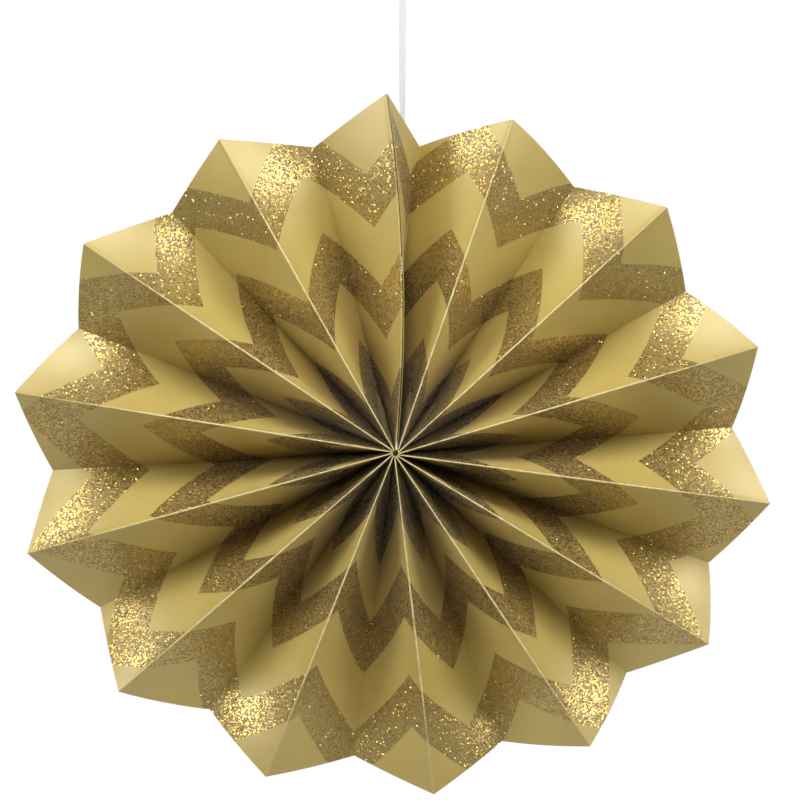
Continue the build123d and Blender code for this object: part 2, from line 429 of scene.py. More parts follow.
@dataclass(frozen=True)
class CardPrint:
    """Satin gold card with chevron bands of glitter, laid out on the flat strip.

    The chevrons' start and repeat and the seam's reach are counted in panels round the strip.
    The bands' start and repeat are metres out from the hub, and their share and softness are
    parts of that repeat.
    """

    # Plain gold
    gold: Colour = (0.525, 0.390, 0.097)
    pale_gold: Colour = (0.555, 0.420, 0.114)
    metallic: float = 0.06
    roughness: float = 0.34
    sheen_level: float = 0.8
    haze: float = 0.11
    haze_roughness: float = 0.5
    grain_size: float = 0.0006
    grain_height: float = 0.00003
    grain_roughness: float = 0.06
    mottle_size: float = 0.03
    mottle_range: Range = (0.3, 0.7)

    # Glitter flakes, some of which lie as mirrors
    flake_dark: Colour = (0.29, 0.203, 0.056)
    flake_gold: Colour = (0.345, 0.243, 0.068)
    flake_size: float = 0.00075
    flake_tilt: float = 1.4
    mirror_gold: Colour = (0.48, 0.345, 0.104)
    mirror_share: float = 0.55
    mirror_metallic: float = 0.90
    mirror_roughness: float = 0.18
    mirror_spread: float = 0.10

    # Bands of glitter
    chevron_at: float = 1.646
    chevron_repeat: float = 1.675
    chevron_rise: float = 0.0377
    band_at: float = 0.1499
    band_repeat: float = 0.0663
    band_share: float = 0.476
    band_softness: float = 0.012

    # Mountain folds: print rubbed pale, with a painted highlight along each ridge
    crease_rub_and_highlight: Colour = (0.80, 0.68, 0.31)
    crease_width: float = 0.0003
    crease_fades: Range = (0.12, 0.20)
    crease_faded: float = 0.75
    ridge_patch_size: float = 0.004
    ridge_patch_range: Range = (0.35, 0.6)
    ridge_patch_least: float = 0.5
    seam_reach: float = 0.5

    # Back and cut edge
    back_gold: Colour = (0.52, 0.40, 0.13)
    back_roughness: float = 0.5
    core: Colour = (0.40, 0.30, 0.10)
    core_roughness: float = 0.7
    plain_grain_roughness: float = 0.1
    plain_mottle_detail: float = 4.0
    plain_mottle_range: Range = (0.35, 0.65)
    plain_mottle_shade: float = 0.95

    def band(self, panels: Field, along: Field, ragged: Field) -> Field:
        """Where the glitter lies.

        Args:
            panels: Distance round the strip, in panels.
            along: Distance out from the hub, in metres.
            ragged: Noise that breaks up the bands' edges.

        Returns:
            1 on glitter and 0 on plain gold.
        """
        shader = panels.shader
        phase = (panels - self.chevron_at) / self.chevron_repeat
        # From 1 at a chevron's point to -1 halfway to the next
        zigzag = 1 - 4 * shader.math("PINGPONG", phase, 0.5)
        height = along - self.band_at - self.chevron_rise / 2 * zigzag
        bands = height / self.band_repeat + (ragged - 0.5) * self.band_softness
        middle = self.band_share / 2
        edge = self.band_softness / 2
        from_middle = shader.math("ABSOLUTE", shader.math("FRACT", bands) - middle)
        glitter = 1 - from_middle.eased(middle - edge, middle + edge)
        # Outside the last band the tips stay plain
        return glitter * shader.math("LESS_THAN", bands, 1.0)

    def ridge_rub_and_highlight(
        self,
        plan: FoldPlan,
        flat: bpy.types.NodeSocket,
        panels: Field,
        along: Field,
    ) -> Field:
        """Where the mountain folds are rubbed pale and carry a painted highlight.

        Args:
            plan: The folds.
            flat: Place on the flat strip.
            panels: Distance round the strip, in panels.
            along: Distance out from the hub, in metres.

        Returns:
            1 on the pale line along a ridge, where the print is rubbed off and a highlight is painted, and 0
            elsewhere.
        """
        # Mountain folds lie at the even panels
        from_ridge = panels.shader.math("PINGPONG", panels, 1.0) * plan.panel_width
        patches = panels.shader.grain(flat, self.ridge_patch_size).eased(*self.ridge_patch_range)
        ridge_rub_and_highlight = self.ridge_patch_least + (1 - self.ridge_patch_least) * patches
        rub_and_highlight = (1 - from_ridge.eased(self.crease_width / 2, self.crease_width)) * ridge_rub_and_highlight
        rub_and_highlight = rub_and_highlight * (1 - self.crease_faded * along.eased(*self.crease_fades))
        off_first = panels.eased(0.0, self.seam_reach)
        off_last = 1 - panels.eased(plan.folds - self.seam_reach, plan.folds)
        return rub_and_highlight * off_first * off_last

    def flake_normal(self, chance: bpy.types.NodeSocket, tilt: Field) -> bpy.types.NodeSocket:
        """Normal of the card with each flake turned its own way.

        Args:
            chance: A colour of chance for each flake.
            tilt: How far a flake is turned.

        Returns:
            The normal.
        """
        shader = tilt.shader
        way = shader.vector("SUBTRACT", chance, (0.5, 0.5, 0.5))
        turn = shader.node("ShaderNodeVectorMath", {"operation": "SCALE"}, {0: way, "Scale": tilt})
        normal = shader.node("ShaderNodeNewGeometry").outputs["Normal"]
        return shader.vector("NORMALIZE", shader.vector("ADD", normal, turn.outputs["Vector"]))

    def front(self, plan: FoldPlan) -> bpy.types.Material:
        """Printed side.

        Args:
            plan: The folds that the print is worn along.

        Returns:
            The material.
        """
        made = Material("gold_print")
        shader = made.shader
        flat = shader.flat()
        across, along, _ = shader.split(flat)
        panels = across / plan.panel_width
        fine = shader.grain(flat, self.grain_size)
        band = self.band(panels, along, fine)
        rub_and_highlight = self.ridge_rub_and_highlight(plan, flat, panels, along)

        cells = shader.node(
            "ShaderNodeTexVoronoi",
            {"voronoi_dimensions": "2D"},
            {"Vector": flat, "Scale": 1 / self.flake_size},
        )
        chance = shader.node("ShaderNodeTexWhiteNoise", None, {"Vector": cells.outputs["Position"]})
        lies_as_mirror, lean, shade = shader.split(chance.outputs["Color"])
        mirror = shader.math("LESS_THAN", lies_as_mirror, self.mirror_share)
        flakes = shader.mix(shade, self.flake_dark, self.flake_gold)
        flakes = shader.mix(mirror, flakes, self.mirror_gold)
        mottle = shader.grain(flat, self.mottle_size)
        colour = shader.mix(mottle.eased(*self.mottle_range), self.gold, self.pale_gold)
        colour = shader.mix(band, colour, flakes)
        # The pale line on the mountain folds: rubbed print with a painted highlight along the ridge
        colour = shader.mix(rub_and_highlight, colour, self.crease_rub_and_highlight)

        glossy = band * mirror * (1 - rub_and_highlight)
        # Most mirrors lie nearly flat and few are turned far, so the lean counts three times
        tilt = glossy * lean * lean * lean * self.flake_tilt
        normal = self.flake_normal(cells.outputs["Color"], tilt)
        mirror_roughness = self.mirror_roughness + self.mirror_spread * shade
        roughness = self.roughness + self.grain_roughness * fine
        return made.finish(
            Base_Color=colour,
            Metallic=self.metallic + glossy * (self.mirror_metallic - self.metallic),
            Roughness=roughness + glossy * (mirror_roughness - self.roughness),
            Specular_IOR_Level=self.sheen_level,
            Sheen_Weight=self.haze,
            Sheen_Roughness=self.haze_roughness,
            Normal=shader.bump(fine, self.grain_height, normal),
        )

    def plain(self, name: str, base: Colour, roughness: float) -> bpy.types.Material:
        """Side or edge with no print.

        Args:
            name: Name of the material.
            base: Its colour.
            roughness: Its roughness.

        Returns:
            The material.
        """
        made = Material(name)
        shader = made.shader
        place = shader.place()
        mottle = shader.grain(place, self.mottle_size, self.plain_mottle_detail)
        fine = shader.grain(place, self.grain_size)
        darker = tuple(self.plain_mottle_shade * part for part in base)
        return made.finish(
            Base_Color=shader.mix(mottle.eased(*self.plain_mottle_range), base, darker),
            Metallic=self.metallic,
            Roughness=roughness + self.plain_grain_roughness * fine,
            Normal=shader.bump(fine, self.grain_height),
        )

    def dress(self, plan: FoldPlan) -> list[bpy.types.Material]:
        """Materials of the card, in the order of its sides."""
        back = self.plain("gold_back", self.back_gold, self.back_roughness)
        return [self.front(plan), back, self.plain("card_core", self.core, self.core_roughness)]


@dataclass(frozen=True)
class RibbonFinish:
    """Pale satin ribbon with fine lengthwise lines."""

    light: Colour = (0.88, 0.88, 0.90)
    shade: Colour = (0.78, 0.78, 0.81)
    roughness: float = 0.34
    coat: float = 0.2
    line_size: float = 0.0004
    line_height: float = 0.00002
    line_share: float = 0.5
    blotch_size: float = 0.012
    blotch_roughness: float = 0.12

    def material(self) -> bpy.types.Material:
        """Surface of the ribbon.

        Returns:
            The material.
        """
        made = Material("ribbon_satin")
        shader = made.shader
        flat = shader.flat()
        across, _, _ = shader.split(flat)
        lines = shader.waves(across, self.line_size)
        blotch = shader.grain(flat, self.blotch_size)
        shaded = lines * self.line_share + (1 - self.line_share) * blotch
        return made.finish(
            Base_Color=shader.mix(shaded, self.light, self.shade),
            Roughness=self.roughness + self.blotch_roughness * blotch,
            Coat_Weight=self.coat,
            Normal=shader.bump(lines, self.line_height),
        )


@dataclass(frozen=True)
class ThreadFinish:
    """Twisted thread."""

    light: Colour = (0.74, 0.66, 0.46)
    shade: Colour = (0.52, 0.44, 0.26)
    roughness: float = 0.72
    twist: float = 0.0006
    twist_slant: float = 1.7
    twist_height: float = 0.00008
    twist_share: float = 0.7
    fibre_size: float = 0.00015
    fibre_roughness: float = 0.15

    def material(self) -> bpy.types.Material:
        """Surface of the thread.

        Returns:
            The material.
        """
        made = Material("thread_twist")
        shader = made.shader
        place = shader.place()
        x, y, z = shader.split(place)
        lay = shader.waves(x + y * self.twist_slant + z, self.twist)
        fibres = shader.grain(place, self.fibre_size)
        lit = lay * self.twist_share + fibres * (1 - self.twist_share)
        return made.finish(
            Base_Color=shader.mix(lit, self.shade, self.light),
            Roughness=self.roughness + self.fibre_roughness * fibres,
            Normal=shader.bump(lay, self.twist_height),
        )


@dataclass(frozen=True)
class GlueFinish:
    """Amber drop of hard glue."""

    amber: Colour = (0.34, 0.23, 0.08)
    cloudy: Colour = (0.44, 0.33, 0.15)
    roughness: float = 0.22
    cloud_size: float = 0.001
    cloud_range: Range = (0.35, 0.65)
    cloud_roughness: float = 0.15

    def material(self) -> bpy.types.Material:
        """Surface of the glue.

        Returns:
            The material.
        """
        made = Material("glue_amber")
        shader = made.shader
        cloud = shader.grain(shader.place(), self.cloud_size)
        return made.finish(
            Base_Color=shader.mix(cloud.eased(*self.cloud_range), self.amber, self.cloudy),
            Roughness=self.roughness + self.cloud_roughness * cloud,
        )


@dataclass(frozen=True)
class TapeFinish:
    """Milky double-sided tape with trapped air."""

    clear: Colour = (0.78, 0.76, 0.68)
    airy: Colour = (0.90, 0.89, 0.84)
    roughness: float = 0.25
    air_size: float = 0.0022
    air_detail: float = 3.0
    air_range: Range = (0.5, 0.62)
    air_height: float = 0.00003
    air_roughness: float = 0.3

    def material(self) -> bpy.types.Material:
        """Surface of the tape.

        Returns:
            The material.
        """
        made = Material("tape_milky")
        shader = made.shader
        air = shader.grain(shader.place(), self.air_size, self.air_detail)
        return made.finish(
            Base_Color=shader.mix(air.eased(*self.air_range), self.clear, self.airy),
            Roughness=self.roughness + self.air_roughness * air,
            Normal=shader.bump(air, self.air_height),
        )


# Meshes


def grid_points(
    work: bmesh.types.BMesh,
    columns: int,
    rows: int,
) -> Iterator[tuple[bmesh.types.BMVert, int, int]]:
    """Walks over a flat grid that runs from -1 to 1 each way.

    Args:
        work: The mesh, which holds the grid alone.
        columns: Number of faces along X.
        rows: Number of faces along Y.

    Yields:
        Each point with its column and row.
    """
    for vertex in work.verts:
        column = round((vertex.co.x + 1) / 2 * columns)
        row = round((vertex.co.y + 1) / 2 * rows)
        yield vertex, column, row


def soften(work: bmesh.types.BMesh) -> None:
    """Shades all faces smooth."""
    for face in work.faces:
        face.smooth = True


def sharpen(work: bmesh.types.BMesh, angle: float) -> None:
    """Keeps the shading apart at sharp bends and between finishes.

    Args:
        work: The mesh.
        angle: The bend past which an edge is sharp, in radians.
    """
    for edge in work.edges:
        finishes = {face.material_index for face in edge.link_faces}
        if len(finishes) > 1 or edge.calc_face_angle(0.0) > angle:
            edge.smooth = False


def thicken(work: bmesh.types.BMesh, thickness: float) -> None:
    """Gives a bent strip its thickness, half to each side.

    Args:
        work: The strip, one face thick.
        thickness: Thickness of the finished strip.
    """
    bmesh.ops.recalc_face_normals(work, faces=work.faces)
    for vertex in work.verts:
        vertex.normal_update()
    shifts = [(vertex, vertex.normal * (thickness / 2)) for vertex in work.verts]
    for vertex, shift in shifts:
        vertex.co += shift
    bmesh.ops.solidify(work, geom=work.faces[:], thickness=thickness)
    bmesh.ops.recalc_face_normals(work, faces=work.faces)
    soften(work)
    sharpen(work, CUT_ANGLE)


def new_piece(
    name: str,
    work: bmesh.types.BMesh,
    dress: list[bpy.types.Material],
) -> bpy.types.Object:
    """Makes an object from a finished mesh.

    Args:
        name: Name of the piece.
        work: Its mesh, which is freed.
        dress: Its materials, in the order of its slots.

    Returns:
        The new object, in the scene.
    """
    mesh = bpy.data.meshes.new(name)
    work.to_mesh(mesh)
    work.free()
    for material in dress:
        mesh.materials.append(material)
    piece = bpy.data.objects.new(name, mesh)
    bpy.context.scene.collection.objects.link(piece)
    LOG.info("%s: %d faces", name, len(mesh.polygons))
    return piece


# The folded card


class Side(IntEnum):
    """Sides of the card, in the order of its material slots."""

    FRONT = 0
    BACK = 1
    CUT = 2


class Fold(Enum):
    """Ways that a fold can point."""

    MOUNTAIN = "towards the front"
    VALLEY = "towards the back"


@dataclass
class FoldPlan:
    """Where the folds of the opened fan run, counted clockwise from the seam's mountain fold."""

    pleats: int = 14
    tip_reach: float = 0.2030
    notch_reach: float = 0.1830
    oval_ratio: float = 0.908
    hub_depth: float = 0.0470
    tip_depth: float = 0.0160
    hub: Place = (0.0017, 0.0, -0.0019)
    first_tip_turn: float = 91.4
    seam_turn: float = 5.4
    last_turn: float = 11.9
    lean: float = 2.55
    lean_towards: float = 206.8
    pinch: float = 0.65
    card: float = 0.0003
    hub_slack: float = 0.00006
    seam_folds: int = 2
    seam_tip_reach: float = 0.2070
    seam_notch_reach: float = 0.1798
    seam_tip_depth: float = 0.0260
    seam_ridge_bow: float = 0.0056
    seam_valley_bow: float = -0.0036
    seam_room: float = 0.00057
    tab_width: float = 0.0290

    @property
    def folds(self) -> int:
        """Number of folds."""
        return 2 * self.pleats

    @property
    def panel_width(self) -> float:
        """Width of a panel on the flat strip: at the hub it stands on edge."""
        return self.hub_depth

    @property
    def tab_share(self) -> float:
        """Width of the glue tab, in panels."""
        return self.tab_width / self.panel_width

    @property
    def first_panel_lift(self) -> float:
        """How far the first panel stands in front of the glue tab's back."""
        return self.card + self.seam_room

    @property
    def seam_pitch(self) -> float:
        """Room that the seam takes round the hub."""
        return self.first_panel_lift + self.card + self.hub_slack

    @property
    def hub_radius(self) -> float:
        """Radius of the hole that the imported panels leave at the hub."""
        return ((self.folds - 1) * (self.card + self.hub_slack) + self.seam_pitch) / tau

    def kind(self, index: int) -> Fold:
        """Way that a fold points."""
        return Fold.MOUNTAIN if index % 2 == 0 else Fold.VALLEY

    def reach(self, index: int) -> float:
        """Length of a fold from the fan's middle.

        Args:
            index: The fold.

        Returns:
            The length before the fan is made oval.
        """
        mountain = self.kind(index) is Fold.MOUNTAIN
        if index % self.folds < self.seam_folds:
            return self.seam_tip_reach if mountain else self.seam_notch_reach
        return self.tip_reach if mountain else self.notch_reach

    def rim_turn(self, index: int) -> float:
        """Direction of a fold's end round the oval.

        Args:
            index: The fold.

        Returns:
            The angle from +X towards +Z.
        """
        even = (360 - self.seam_turn - self.last_turn) / (self.folds - 2)
        turn = self.first_tip_turn
        if index > 0:
            turn -= self.seam_turn + (index - 1) * even
        lean = self.lean * cos(radians(turn - self.lean_towards))
        return turn + lean - self.pinch * cos(radians(2 * turn))

    def hub_turn(self, index: int) -> float:
        """Direction of a fold where it starts at the hub.

        Args:
            index: The fold.

        Returns:
            The angle from +X towards +Z.
        """
        along = 0.0
        if index > 0:
            along = self.seam_pitch + (index - 1) * (self.card + self.hub_slack)
        return self.first_tip_turn - 360 * along / (tau * self.hub_radius)

    def point(self, index: int, station: float) -> Vector:
        """Point on the inner side of a fold.

        Args:
            index: The fold.
            station: 0 at the hub, 1 at the rim.

        Returns:
            The point.
        """
        at_seam = index < self.seam_folds
        mountain = self.kind(index) is Fold.MOUNTAIN
        reach = self.reach(index)
        rim, start = radians(self.rim_turn(index)), radians(self.hub_turn(index))
        inner = Vector(self.hub) + Vector((cos(start), 0, sin(start))) * self.hub_radius
        outer = Vector((reach * cos(rim), 0, self.oval_ratio * reach * sin(rim)))
        tip_depth = self.seam_tip_depth if at_seam else self.tip_depth
        out = station * reach / self.tip_reach
        depth = (self.hub_depth - (self.hub_depth - tip_depth) * out**2) / 2
        bow = 0.0
        if at_seam:
            bow = self.seam_ridge_bow if mountain else self.seam_valley_bow
        sideways = bow * hump(station)
        return inner.lerp(outer, station) + Vector((sideways, -depth if mountain else depth, 0))


@dataclass
class Panel:
    """One panel of the strip between two folds, with one entry for each row from hub to rim."""

    start: list[Vector]
    end: list[Vector]
    normal: list[Vector]
    start_kind: Fold
    start_reach: float
    end_reach: float
    camber: float = 0.0
    wave: float = 0.0
    rim_bow: float = 0.0


@dataclass
class Column:
    """One line of the card's mesh from hub to rim, in a panel or round the fold that ends it."""

    panel: int
    share: float
    turn: float | None = None


@dataclass
class PleatedCard:
    """The folded strip of card, from its first panel round to the glue tab."""

    plan: FoldPlan
    finish: CardPrint

    # Spacing of the mesh
    rows: int = 64
    row_crowding: float = 1.15
    half_shares: tuple[float, ...] = (0.0, 0.008, 0.02, 0.045, 0.09, 0.18, 0.32, 0.5)
    crease_turns: tuple[float, ...] = (0.2, 0.4, 0.6, 0.8)
    tab_shares: tuple[float, ...] = (0.0, 0.013, 0.03, 0.07, 0.15, 0.3, 0.5, 0.75, 1.0)

    # How each panel departs from the flat, with the spread from panel to panel
    camber: float = 0.00075
    camber_spread: Range = (0.6, 1.5)
    rim_bow: float = 0.0009
    rim_bow_spread: Range = (0.3, 1.7)
    rim_bow_rises: Range = (0.85, 1.0)
    wave: float = 0.0007
    wave_size: float = 0.05
    wave_rises: Range = (0.1, 0.5)
    swell: float = 0.00018
    swell_width: float = 0.0012
    swell_rises: Range = (0.1, 0.35)
    seed: int = 14

    stations: list[float] = field(init=False)
    panels: list[Panel] = field(default_factory=list)

    def __post_init__(self) -> None:
        """Spaces the mesh's rows from hub to rim, a little closer at the hub."""
        self.stations = [(row / self.rows) ** self.row_crowding for row in range(self.rows + 1)]

    def fold_panels(self) -> None:
        """Lays out the panels, and then the glue tab behind the first one."""
        plan = self.plan
        lines = []
        for index in range(plan.folds):
            lines.append([plan.point(index, station) for station in self.stations])
        draw = random.Random(self.seed)
        for index in range(plan.folds):
            start, end = lines[index], lines[(index + 1) % plan.folds]
            panel = Panel(
                start,
                end,
                self.normals(start, end),
                plan.kind(index),
                plan.reach(index),
                plan.reach(index + 1),
            )
            if index > 0:
                panel.camber = self.camber * draw.uniform(*self.camber_spread)
                panel.rim_bow = self.rim_bow * draw.uniform(*self.rim_bow_spread)
                panel.wave = self.wave
            self.panels.append(panel)
        first = self.panels[0]
        lift = [normal * plan.first_panel_lift for normal in first.normal]
        tab_end = [point - up for point, up in zip(first.end, lift)]
        tab = Panel(
            first.start,
            tab_end,
            first.normal,
            Fold.MOUNTAIN,
            first.start_reach,
            first.end_reach,
        )
        first.start = [point + up for point, up in zip(first.start, lift)]
        self.panels.append(tab)

    def normals(self, start: list[Vector], end: list[Vector]) -> list[Vector]:
        """Front normals of a panel.

        Args:
            start: Points of the fold that it starts from, clockwise.
            end: Points of the fold that it ends at.

        Returns:
            One normal for each row.
        """
        found = []
        for row in range(self.rows + 1):
            near, far = max(row - 1, 0), min(row + 1, self.rows)
            outward = start[far] - start[near] + end[far] - end[near]
            found.append((end[row] - start[row]).cross(outward).normalized())
        return found

    def columns(self) -> list[Column]:
        """Columns of the mesh, closer together at the folds.

        Returns:
            The columns, in order round the strip.
        """
        half = self.half_shares
        shares = [*half, *(1 - share for share in reversed(half[:-1]))]
        found = []
        for index in range(self.plan.folds):
            found += [Column(index, share) for share in shares]
            found += [Column(index, 1.0, turn) for turn in self.crease_turns]
        tab = self.plan.folds
        found += [Column(tab, share * self.plan.tab_share) for share in self.tab_shares]
        return found

    def softness(self, row: int) -> float:
        """Extra thickness of a fold at a row: none at the hub, where the folds are pressed."""
        return self.swell * smooth_step(self.stations[row], *self.swell_rises)

    def crease_place(self, column: Column, row: int, side: Side) -> Vector:
        """Point of the mesh round a fold.

        Args:
            column: Its column.
            row: Its row, counted from the hub.
            side: The side of the card that it is on.

        Returns:
            The point.
        """
        panel, following = self.panels[column.panel], self.panels[column.panel + 1]
        inner = panel.end[row]
        direction = panel.normal[row].slerp(following.normal[row], column.turn)
        thick = direction * (self.plan.card + self.softness(row))
        if panel.start_kind is Fold.VALLEY:
            return inner + thick if side is Side.FRONT else inner.copy()
        return inner.copy() if side is Side.FRONT else inner - thick

    def panel_place(self, column: Column, row: int, side: Side) -> Vector:
        """Point of the mesh on a panel.

        Args:
            column: Its column.
            row: Its row, counted from the hub.
            side: The side of the card that it is on.

        Returns:
            The point.
        """
        card, soft = self.plan.card, self.softness(row)
        panel = self.panels[column.panel]
        station = self.stations[row]
        share = column.share
        # 1 at the mountain fold and 0 at the valley fold
        mountain = 1 - share if panel.start_kind is Fold.MOUNTAIN else share
        across = (panel.end[row] - panel.start[row]).length
        lift = card * mountain
        if side is Side.FRONT:
            lift += soft * exp(-(((1 - mountain) * across / self.swell_width) ** 2))
        else:
            lift -= card + soft * exp(-((mountain * across / self.swell_width) ** 2))
        arch = panel.camber * hump(share) * hump(station)
        spot = Vector((column.panel + share, station * self.plan.tip_reach / self.wave_size, 0.0))
        rises = smooth_step(station, *self.wave_rises)
        ripple = panel.wave * noise.noise(spot) * hump(share) * rises
        bow = panel.rim_bow * hump(share) * smooth_step(station, *self.rim_bow_rises)
        point = panel.start[row].lerp(panel.end[row], share)
        shift = panel.normal[row] * (lift + arch + ripple)
        if bow:
            inward = panel.start[0].lerp(panel.end[0], share) - point
            shift -= inward.normalized() * bow
        return point + shift

    def flat_place(self, column: Column, row: int) -> tuple[float, float]:
        """Place of a point on the flat strip.

        Args:
            column: Its column.
            row: Its row, counted from the hub.

        Returns:
            How far it is round the strip and how far out from the hub.
        """
        panel = self.panels[column.panel]
        reach = panel.start_reach + (panel.end_reach - panel.start_reach) * column.share
        around = (column.panel + column.share) * self.plan.panel_width
        return around, self.stations[row] * reach

    def mesh(self) -> bmesh.types.BMesh:
        """Folds the card from a flat grid and its copy for the back.

        Returns:
            The closed mesh, with a material slot for each side.
        """
        columns = self.columns()
        work = bmesh.new()
        last = len(columns) - 1
        bmesh.ops.create_grid(work, x_segments=last, y_segments=self.rows, size=1.0)
        column_of = work.verts.layers.int.new("column")
        row_of = work.verts.layers.int.new("row")
        for vertex, column, row in grid_points(work, last, self.rows):
            vertex[column_of] = column
            vertex[row_of] = row
        front_faces = list(work.faces)
        made = bmesh.ops.extrude_face_region(work, geom=front_faces, use_keep_orig=True)["geom"]
        back_vertices = {item for item in made if isinstance(item, bmesh.types.BMVert)}
        back_faces = {item for item in made if isinstance(item, bmesh.types.BMFace)}
        for face in work.faces:
            face.material_index = Side.BACK if face in back_faces else Side.CUT
        for face in front_faces:
            face.material_index = Side.FRONT
        uv = work.loops.layers.uv.new(FLAT_UV)
        for vertex in work.verts:
            column, row = columns[vertex[column_of]], vertex[row_of]
            side = Side.BACK if vertex in back_vertices else Side.FRONT
            place = self.panel_place if column.turn is None else self.crease_place
            vertex.co = place(column, row, side)
            for loop in vertex.link_loops:
                loop[uv].uv = self.flat_place(column, row)
        bmesh.ops.remove_doubles(work, verts=work.verts, dist=SAME_POINT)
        bmesh.ops.recalc_face_normals(work, faces=work.faces)
        soften(work)
        sharpen(work, FOLD_ANGLE)
        return work

    def build(self) -> bpy.types.Object:
        """Folds the card and dresses it.

        Returns:
            The finished card.
        """
        self.fold_panels()
        card = new_piece("folded_card", self.mesh(), self.finish.dress(self.plan))
        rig.replaces(card, "pleated_fan")
        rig.ride(card, "root")
        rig.slot(card, "gold_card")
        strip = (self.plan.folds + self.plan.tab_share) * self.plan.panel_width
        middle_reach = (self.plan.tip_reach + self.plan.notch_reach) / 2
        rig.sheet(card, flat=(strip, self.plan.tip_reach), held="folded", area=strip * middle_reach)
        return card


# The seam


@dataclass
class Seam:
    """Layers between the glue tab and the first panel."""

    plan: FoldPlan
    step: float = 0.01

    def frame(self, station: float) -> tuple[Vector, Vector, Vector]:
        """Row of the seam at a station of its folds.

        Args:
            station: 0 at the hub, 1 at the rim.

        Returns:
            The row's start at the mountain fold, the whole row from there, and its front normal.
        """
        plan = self.plan
        before = station - self.step
        ridge, valley = plan.point(0, station), plan.point(1, station)
        outward = ridge - plan.point(0, before) + valley - plan.point(1, before)
        normal = (valley - ridge).cross(outward).normalized()
        far = valley - normal * (plan.first_panel_lift + plan.card)
        return ridge, far - ridge, normal

    def point(self, aside: float, station: float, lift: float) -> Vector:
        """Point in the seam.

        Args:
            aside: Distance from the mountain fold, on a whole panel.
            station: 0 at the hub, 1 at the rim.
            lift: Height over the tab's back.

        Returns:
            The point.
        """
        ridge, row, normal = self.frame(station)
        return ridge + row * (aside / self.plan.panel_width) + normal * lift


@dataclass
class SeamTape:
    """Double-sided tape on the front of the glue tab."""

    seam: Seam
    finish: TapeFinish
    near_edge: float = 0.009
    far_edge: float = 0.027
    first_station: float = 0.165
    lift: float = 0.00046
    thickness: float = 0.00012
    columns: int = 6
    rows: int = 60

    def build(self) -> bpy.types.Object:
        """Lays the tape.

        Returns:
            The finished tape.
        """
        work = bmesh.new()
        bmesh.ops.create_grid(work, x_segments=self.columns, y_segments=self.rows, size=1.0)
        for vertex, column, row in grid_points(work, self.columns, self.rows):
            aside = self.near_edge + (self.far_edge - self.near_edge) * column / self.columns
            station = self.first_station + (1 - self.first_station) * row / self.rows
            vertex.co = self.seam.point(aside, station, self.lift)
        thicken(work, self.thickness)
        tape = new_piece("tape_strip", work, [self.finish.material()])
        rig.replaces(tape, "seam_tape")
        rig.ride(tape, "root")
        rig.slot(tape, "tape")
        return tape


# The hanging ribbon


@dataclass
class RibbonRun:
    """Where the ribbon lies: its tail in the seam, over the rim and up to the knot."""

    seam: Seam
    width: float = 0.0050
    thickness: float = 0.00015
    rib_height: float = 0.00003
    aside: float = 0.0226
    lift: float = 0.000695
    tail_stations: tuple[float, ...] = (0.84, 0.9, 0.96)
    rise: float = 0.0720
    rise_shares: tuple[float, ...] = (0.0, 0.15, 0.6, 1.0)
    knot_height: float = 0.0060
    turn_share: float = 0.22
    turn_height: float = 0.025

    def tail(self, station: float) -> Vector:
        """Point of the ribbon's middle line in the seam."""
        return self.seam.point(self.aside, station, self.lift)

    @property
    def exit(self) -> Vector:
        """Where the ribbon leaves the rim."""
        return self.tail(1.0)

    @property
    def knot(self) -> Vector:
        """Middle of the knot."""
        return self.exit + UP * (self.rise + self.knot_height / 2)

    def across(self, height: float) -> Vector:
        """Direction across the ribbon.

        Args:
            height: Level that the ribbon has reached.

        Returns:
            The direction, which turns with the seam up to the rim, and above it a little more
            to face the front.
        """
        first = self.tail_stations[0]
        low, high = self.tail(first).z, self.exit.z
        share = min(max((height - low) / (high - low), 0.0), 1.0)
        _, row, _ = self.seam.frame(first + (1 - first) * share)
        level = Vector((row.x, row.y, 0)).normalized()
        risen = smooth_step(height, high, high + self.turn_height)
        return level.slerp(Vector((1, 0, 0)), self.turn_share * risen)

    def route(self) -> list[Vector]:
        """Points that the ribbon's line is drawn by.

        Returns:
            The points, from the tail's end to the knot.
        """
        tail = [self.tail(station) for station in self.tail_stations]
        return tail + [self.exit + UP * (self.rise * share) for share in self.rise_shares]


